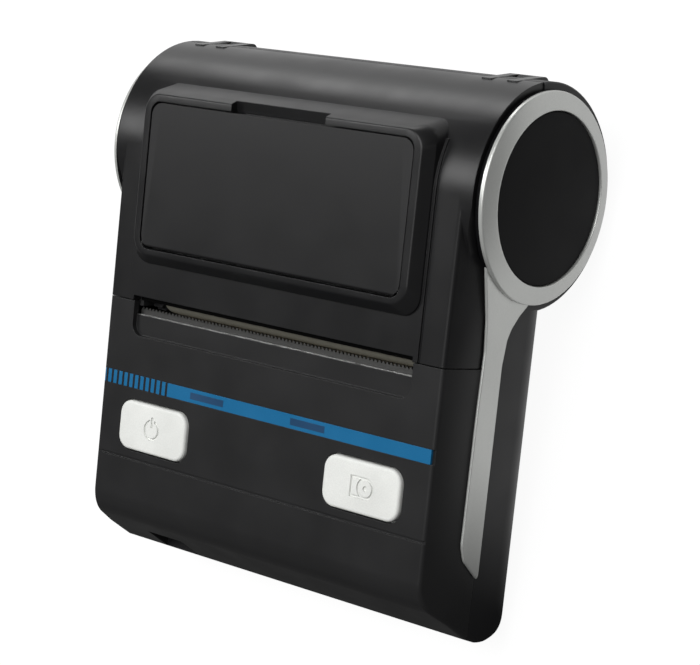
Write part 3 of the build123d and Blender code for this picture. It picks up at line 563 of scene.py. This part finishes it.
def rounded(points, radii, steps=8):
    """Rounds the corners of a closed outline by a radius for each."""
    made = []
    count = len(points)
    for i, point in enumerate(points):
        r = radii[i]
        a, b, c = Vector(points[i - 1]), Vector(point), Vector(points[(i + 1) % count])
        back, ahead = (a - b).normalized(), (c - b).normalized()
        half = math.acos(max(-1.0, min(1.0, back.dot(ahead)))) / 2
        if r <= 0 or half > math.radians(STRAIGHT):
            made.append(tuple(b))
            continue
        reach = min(r / math.tan(half), (a - b).length * 0.48, (c - b).length * 0.48)
        start, end = b + back * reach, b + ahead * reach
        for k in range(steps + 1):
            t = k / steps
            made.append(tuple(start * (1 - t) ** 2 + b * 2 * t * (1 - t) + end * t ** 2))
    return made


def tail_outline():
    """The tail's edge along the side, closed by an arc inside the ring."""
    tail = rounded(TAIL, TAIL_ROUNDS)
    first = math.atan2(tail[0][1] - RING_Z, tail[0][0])
    last = math.atan2(tail[-1][1] - RING_Z, tail[-1][0])
    inside = RING_R - TAIL_OVERLAP
    steps = 24
    arc = [(inside * math.cos(last + (first - last) * i / steps),
            RING_Z + inside * math.sin(last + (first - last) * i / steps)) for i in range(steps + 1)]
    return [p for p in tail if math.hypot(p[0], p[1] - RING_Z) > inside] + arc


def turned(profile, steps=TURN_STEPS):
    """A closed ring or disc turned about the end cap's axis from (radius, X) points in millimetres."""
    bm = bmesh.new()
    loops = []
    for r, x in profile:
        if r <= 0:
            loops.append([bm.verts.new((x * MM, 0, RING_Z * MM))])
            continue
        angles = [2 * math.pi * i / steps for i in range(steps)]
        loops.append([bm.verts.new((x * MM, r * MM * math.cos(angle), (RING_Z + r * math.sin(angle)) * MM))
                      for angle in angles])
    for a, b in zip(loops, loops[1:] + loops[:1]):
        for i in range(steps):
            j = (i + 1) % steps
            if len(a) == 1 and len(b) == 1:
                break
            corners = (a[0], b[j], b[i]) if len(a) == 1 else (a[i], a[j], b[0]) if len(b) == 1 else (
                a[i], a[j], b[j], b[i])
            bm.faces.new(corners)
    bmesh.ops.recalc_face_normals(bm, faces=bm.faces)
    mesh = bpy.data.meshes.new("turned")
    bm.to_mesh(mesh)
    bm.free()
    return mesh


def block(x0, x1, y0, y1, z0, z1):
    """A plain block from its limits in millimetres."""
    bm = bmesh.new()
    size = Matrix.Diagonal(((x1 - x0) * MM, (y1 - y0) * MM, (z1 - z0) * MM, 1))
    place = Matrix.Translation(((x0 + x1) / 2 * MM, (y0 + y1) / 2 * MM, (z0 + z1) / 2 * MM))
    bmesh.ops.create_cube(bm, size=1.0, matrix=place @ size)
    mesh = bpy.data.meshes.new("block")
    bm.to_mesh(mesh)
    bm.free()
    return mesh


def joined(meshes, name):
    bm = bmesh.new()
    for mesh in meshes:
        bm.from_mesh(mesh)
    mesh = bpy.data.meshes.new(name)
    bm.to_mesh(mesh)
    bm.free()
    return mesh


# What repeats, made with Geometry Nodes


class Repeats:
    """A node tree that sets copies of one shape along X, with the spacing and number as inputs."""

    def __init__(self, name, inputs):
        self.tree = bpy.data.node_groups.new(name, "GeometryNodeTree")
        for label, kind in inputs:
            self.tree.interface.new_socket(label, in_out="INPUT", socket_type=kind)
        self.tree.interface.new_socket("Geometry", in_out="OUTPUT", socket_type="NodeSocketGeometry")
        self.given = self.tree.nodes.new("NodeGroupInput").outputs
        self.result = self.tree.nodes.new("NodeGroupOutput").inputs

    def node(self, kind, links=None, **values):
        made = self.tree.nodes.new(kind)
        for key, value in values.items():
            setattr(made, key, value)
        for key, source in (links or {}).items():
            if isinstance(source, bpy.types.NodeSocket):
                self.tree.links.new(source, made.inputs[key])
            else:
                made.inputs[key].default_value = source
        return made

    def row(self, shape, start, step):
        """Copies of the shape from start, one step apart."""
        line = self.node("GeometryNodeMeshLine", {"Count": self.given["Count"], "Start Location": start,
                                                  "Offset": step}, mode="OFFSET")
        return self.node("GeometryNodeInstanceOnPoints", {"Points": line.outputs["Mesh"], "Instance": shape})

    def vector(self, x=0.0, y=0.0, z=0.0):
        return self.node("ShaderNodeCombineXYZ", {"X": x, "Y": y, "Z": z}).outputs["Vector"]

    def times(self, a, b):
        return self.node("ShaderNodeMath", {0: a, 1: b}, operation="MULTIPLY").outputs[0]

    def finish(self, geometry):
        real = self.node("GeometryNodeRealizeInstances", {"Geometry": geometry})
        painted = self.node("GeometryNodeSetMaterial", {"Geometry": real.outputs["Geometry"],
                                                        "Material": self.given["Material"]})
        self.tree.links.new(painted.outputs["Geometry"], self.result["Geometry"])

    def mesh(self, **values):
        """Runs the tree once and gives back a plain mesh."""
        holder = bpy.data.objects.new("holder", bpy.data.meshes.new("holder"))
        bpy.context.collection.objects.link(holder)
        run = holder.modifiers.new("repeats", "NODES")
        run.node_group = self.tree
        for item in self.tree.interface.items_tree:
            if item.in_out == "INPUT":
                run[item.identifier] = values[item.name.lower().replace(" ", "_")]
        shown = holder.evaluated_get(bpy.context.evaluated_depsgraph_get())
        made = bpy.data.meshes.new_from_object(shown)
        bpy.data.objects.remove(holder)
        return made


def bar_tree():
    """Upright bars side by side."""
    t = Repeats("upright_bars", (("Count", "NodeSocketInt"), ("Pitch", "NodeSocketFloat"),
                                 ("Width", "NodeSocketFloat"), ("Height", "NodeSocketFloat"),
                                 ("Thickness", "NodeSocketFloat"), ("Material", "NodeSocketMaterial")))
    size = t.vector(t.given["Width"], t.given["Height"], t.given["Thickness"])
    bar = t.node("GeometryNodeMeshCube", {"Size": size})
    copies = t.row(bar.outputs["Mesh"], t.vector(), t.vector(t.given["Pitch"]))
    t.finish(copies.outputs["Instances"])
    return t


def saw_tree():
    """A strip with a row of pointed teeth along its far edge, centred on X."""
    t = Repeats("saw_teeth", (("Count", "NodeSocketInt"), ("Pitch", "NodeSocketFloat"),
                              ("Reach", "NodeSocketFloat"), ("Strip", "NodeSocketFloat"),
                              ("Thickness", "NodeSocketFloat"), ("Material", "NodeSocketMaterial")))
    unit = t.node("GeometryNodeMeshCylinder", {"Vertices": 3, "Radius": 1.0, "Depth": t.given["Thickness"]})
    wide = t.times(t.given["Pitch"], 1.0 / math.sqrt(3.0))
    tall = t.times(t.given["Reach"], 1.0 / 1.5)
    quarter = (0, 0, math.radians(90))
    upright = t.node("GeometryNodeTransform", {"Geometry": unit.outputs["Mesh"], "Rotation": quarter})
    tooth = t.node("GeometryNodeTransform", {"Geometry": upright.outputs["Geometry"],
                                             "Scale": t.vector(wide, tall, 1.0)})
    less = t.node("ShaderNodeMath", {0: t.given["Count"], 1: 1.0}, operation="SUBTRACT").outputs[0]
    first = t.times(t.times(t.given["Pitch"], less), -0.5)
    start = t.vector(first, t.times(t.given["Reach"], 1.0 / 3.0))
    row = t.row(tooth.outputs["Geometry"], start, t.vector(t.given["Pitch"]))
    length = t.times(t.given["Pitch"], t.given["Count"])
    size = t.vector(length, t.given["Strip"], t.given["Thickness"])
    strip = t.node("GeometryNodeMeshCube", {"Size": size})
    back = t.node("GeometryNodeTransform", {"Geometry": strip.outputs["Mesh"],
                                            "Translation": t.vector(0.0, t.times(t.given["Strip"], -0.5))})
    both = t.node("GeometryNodeJoinGeometry")
    t.tree.links.new(row.outputs["Instances"], both.inputs["Geometry"])
    t.tree.links.new(back.outputs["Geometry"], both.inputs["Geometry"])
    t.finish(both.outputs["Geometry"])
    return t


# Steps


class PRINTER_OT_finish_frame(bpy.types.Operator):
    """Gives every CAD node its finish, smooth where it curves and crisp at its edges"""
    bl_idname = "printer.finish_frame"
    bl_label = "Finish the frame"

    def execute(self, context):
        make_finishes()
        slots = {part["node"]: part["material_slot"] for part in frame["record"]["subparts"]}
        for name, obj in frame["nodes"].items():
            obj.data.materials.clear()
            obj.data.materials.append(FINISHES[slots[name]])
            for face in obj.data.polygons:
                face.use_smooth = True
            weld = obj.modifiers.new("weld", "WELD")
            weld.merge_threshold = WELD_GAP
            split = obj.modifiers.new("edges", "EDGE_SPLIT")
            split.split_angle = math.radians(NODE_CREASE)
        return {"FINISHED"}


class PRINTER_OT_make_trim(bpy.types.Operator):
    """Makes the silver ring and tail of each side, with a softened edge"""
    bl_idname = "printer.make_trim"
    bl_label = "Make the side trim"

    def execute(self, context):
        s = sizes()
        profile = rounded([(RING_BORE, RING_BASE_X), (RING_R, RING_BASE_X), (RING_R, RING_RIM_X),
                           (RING_BORE, RING_LIP_X)], RING_ROUNDS)
        tail = flat_plate([tail_outline()], SIDE_X * MM, s.trim_thickness, s.trim_bevel)
        right = joined([turned(profile), tail], "trim")
        left = mirror_mesh(right)
        base = turned([(RING_BORE, SIDE_X), (RING_R, SIDE_X), (RING_R, RING_BASE_X),
                       (RING_BORE, RING_BASE_X)])
        for name, mesh, node in (("ring_base_right", base, "trim_right"),
                                 ("ring_base_left", mirror_mesh(base), "trim_left")):
            piece = new_piece(name, mesh, "trim", "case", "cap")
            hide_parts(node)
        for name, mesh, node in (("side_trim_right", right, "trim_right"),
                                 ("side_trim_left", left, "trim_left")):
            piece = new_piece(name, mesh, "trim", "case")
            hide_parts(node)
        return {"FINISHED"}


class PRINTER_OT_make_caps(bpy.types.Operator):
    """Makes the gently domed cap in each ring"""
    bl_idname = "printer.make_caps"
    bl_label = "Make the end caps"

    def execute(self, context):
        rise = sizes().cap_dome / MM
        rim = RING_BORE - CAP_GAP
        top = CAP_EDGE_X + CAP_SHOULDER
        dome = []
        for ring in range(1, DOME_RINGS + 1):
            share = 1 - ring / DOME_RINGS
            dome.append((rim * share, top + (rise - CAP_SHOULDER) * (1 - share ** 2)))
        shoulder = rounded([(rim, SIDE_X), (rim, top), dome[0]], (0, CAP_ROUND, 0))
        profile = shoulder[:-1] + dome + [(0, SIDE_X)]
        right = turned(profile)
        for node, mesh in (("end_cap_right", right), ("end_cap_left", mirror_mesh(right))):
            piece = new_piece("side_" + node, mesh, "cap", "case")
            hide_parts(node)
        return {"FINISHED"}


class PRINTER_OT_make_tear_bar(bpy.types.Operator):
    """Makes the tear bar: a thin bright blade on its foot, and the strip of fine teeth before the roller"""
    bl_idname = "printer.make_tear_bar"
    bl_label = "Make the tear bar"

    def execute(self, context):
        x = TEAR_HALF_X
        far, low = TEAR_Y + TEAR_BLADE, TEAR_Z[0]
        blade = joined([block(-x, x, TEAR_Y, far, *TEAR_Z),
                        block(-x, x, TEAR_Y - TEAR_FOOT, far, low, low + TEAR_FOOT_T)], "blade")
        piece = new_piece("tear_blade", blade, "steel", "case")
        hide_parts("tear_bar")
        pitch = sizes().tooth_pitch
        strip = (TOOTH_BASE_Y - TEAR_Y - TEAR_BLADE) * MM
        thickness = (STRIP_Z[1] - STRIP_Z[0]) * MM
        teeth = saw_tree().mesh(count=int(2 * x * MM / pitch), pitch=pitch, reach=TOOTH_REACH * MM,
                                strip=strip, thickness=thickness, material=FINISHES["steel"])
        teeth.transform(Matrix.Translation((0, TOOTH_BASE_Y * MM, (STRIP_Z[0] + STRIP_Z[1]) / 2 * MM)))
        piece = new_piece("tear_teeth", teeth, "steel", "case", "teeth")
        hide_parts("tear_bar")
        return {"FINISHED"}


class PRINTER_OT_make_stripe(bpy.types.Operator):
    """Makes the blue stripe, the gaps that part its left end into bars, and its two windows"""
    bl_idname = "printer.make_stripe"
    bl_label = "Make the stripe"

    def execute(self, context):
        s = sizes()
        ribbon = block(-STRIPE_HALF_X, STRIPE_HALF_X, *STRIPE_Y, *STRIPE_Z)
        piece = new_piece("blue_stripe", ribbon, "stripe", "case")
        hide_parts("status_stripe")
        height = (STRIPE_Y[1] - STRIPE_Y[0]) * MM
        bars = bar_tree().mesh(count=s.bar_count, pitch=s.bar_pitch, width=BAR_W * MM, height=height,
                               thickness=BAR_T * MM, material=FINISHES["marks"])
        middle = (STRIPE_Y[0] + STRIPE_Y[1]) / 2
        first = Vector((BAR_X0 + BAR_W / 2, middle, BAR_TOP_Z - BAR_T / 2)) * MM
        bars.transform(Matrix.Translation(first))
        piece = new_piece("level_mark", bars, "marks", "case")
        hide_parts("level_bars")
        low, high = middle - WINDOW_H / 2, middle + WINDOW_H / 2
        blocks = [block(*ends, low, high, BAR_TOP_Z - BAR_T, BAR_TOP_Z) for ends in WINDOW_X]
        piece = new_piece("window_panes", joined(blocks, "panes"), "window", "case")
        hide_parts("indicator_windows")
        return {"FINISHED"}


def white_floor():
    """White to the camera, pale in reflections on one side, and it takes the object's shadow."""
    floor = Finish("stage_floor", FLOOR_ROUGHNESS, specular=0.0)
    floor.shader.inputs["Base Color"].default_value = FLOOR_COLOUR
    floor.shader.inputs["Emission Color"].default_value = (1, 1, 1, 1)
    rays = floor.node("ShaderNodeLightPath").outputs
    apart = floor.node("ShaderNodeSeparateXYZ")
    floor.join(floor.place, apart.inputs["Vector"])
    across = floor.spread(apart.outputs["X"], 0.0, 1.0, *SWEEP_X)
    along = floor.spread(apart.outputs["Y"], 0.0, 1.0, *SWEEP_Y)
    sweep = floor.maths("MULTIPLY", floor.maths("MULTIPLY", across, along), SWEEP_GLOW)
    mirrored = floor.maths("MULTIPLY", sweep, rays["Is Glossy Ray"])
    shown = floor.maths("MULTIPLY", rays["Is Camera Ray"], FLOOR_GLOW)
    floor.join(floor.maths("ADD", mirrored, shown), floor.shader.inputs["Emission Strength"])
    return floor.material


class PRINTER_OT_make_stage(bpy.types.Operator):
    """Makes the floor, the lamps, the world and the camera of the photograph"""
    bl_idname = "printer.make_stage"
    bl_label = "Make the stage"

    def execute(self, context):
        scene = context.scene
        mesh = bpy.data.meshes.new("floor")
        far = FLOOR_HALF
        corners = [(-far, -far, 0), (far, -far, 0), (far, far, 0), (-far, far, 0)]
        mesh.from_pydata(corners, [], [(0, 1, 2, 3)])
        floor = bpy.data.objects.new("floor", mesh)
        floor.location.z = -FLOOR_DROP
        scene.collection.objects.link(floor)
        floor.data.materials.append(white_floor())
        world = bpy.data.worlds.new("studio")
        scene.world = world
        world.use_nodes = True
        sky = Nodes(world.node_tree)
        back = sky.tree.nodes["Background"]
        back.inputs["Color"].default_value = (1, 1, 1, 1)
        rays = sky.node("ShaderNodeLightPath").outputs
        through = sky.maths("MAXIMUM", rays["Is Camera Ray"], rays["Is Transmission Ray"])
        strength = sky.maths("MULTIPLY_ADD", through, 1.0 - WORLD_LIGHT, WORLD_LIGHT)
        sky.join(strength, back.inputs["Strength"])
        for name, at, target, size_m, watts in LAMPS:
            light = bpy.data.lights.new(name, "AREA")
            light.shape = "RECTANGLE"
            light.size, light.size_y = size_m
            light.energy = watts
            lamp = bpy.data.objects.new(name, light)
            scene.collection.objects.link(lamp)
            lamp.location = at
            lamp.rotation_euler = (Vector(target) - Vector(at)).to_track_quat("-Z", "Y").to_euler()
        lens = bpy.data.cameras.new("camera")
        lens.sensor_width = CAMERA_SENSOR
        lens.lens = CAMERA_LENS
        lens.clip_start = CAMERA_NEAR
        camera = bpy.data.objects.new("camera", lens)
        scene.collection.objects.link(camera)
        camera.location = CAMERA_AT
        camera.rotation_euler = tuple(math.radians(a) for a in CAMERA_TURN)
        scene.camera = camera
        scene.view_settings.view_transform = "Standard"
        return {"FINISHED"}


class PRINTER_PT_panel(bpy.types.Panel):
    """Lists the steps that dress the printer"""
    bl_label = "Receipt printer"
    bl_space_type = "VIEW_3D"
    bl_region_type = "UI"
    bl_category = "Printer"

    def draw(self, context):
        for step in STEPS:
            self.layout.operator(step.bl_idname)


STEPS = (PRINTER_OT_finish_frame, PRINTER_OT_make_trim, PRINTER_OT_make_caps, PRINTER_OT_make_tear_bar,
         PRINTER_OT_make_stripe, PRINTER_OT_make_stage)
CLASSES = (PrinterSizes, PrinterColours) + STEPS + (PRINTER_PT_panel,)


def register():
    for cls in CLASSES:
        bpy.utils.register_class(cls)
    bpy.types.Scene.printer_sizes = PointerProperty(type=PrinterSizes)
    bpy.types.Scene.printer_colours = PointerProperty(type=PrinterColours)


def unregister():
    del bpy.types.Scene.printer_colours
    del bpy.types.Scene.printer_sizes
    for cls in reversed(CLASSES):
        bpy.utils.unregister_class(cls)


def main():
    register()
    for step in STEPS:
        group, name = step.bl_idname.split(".")
        getattr(getattr(bpy.ops, group), name)()
    bpy.context.view_layer.update()


if __name__ == "__main__":
    main()
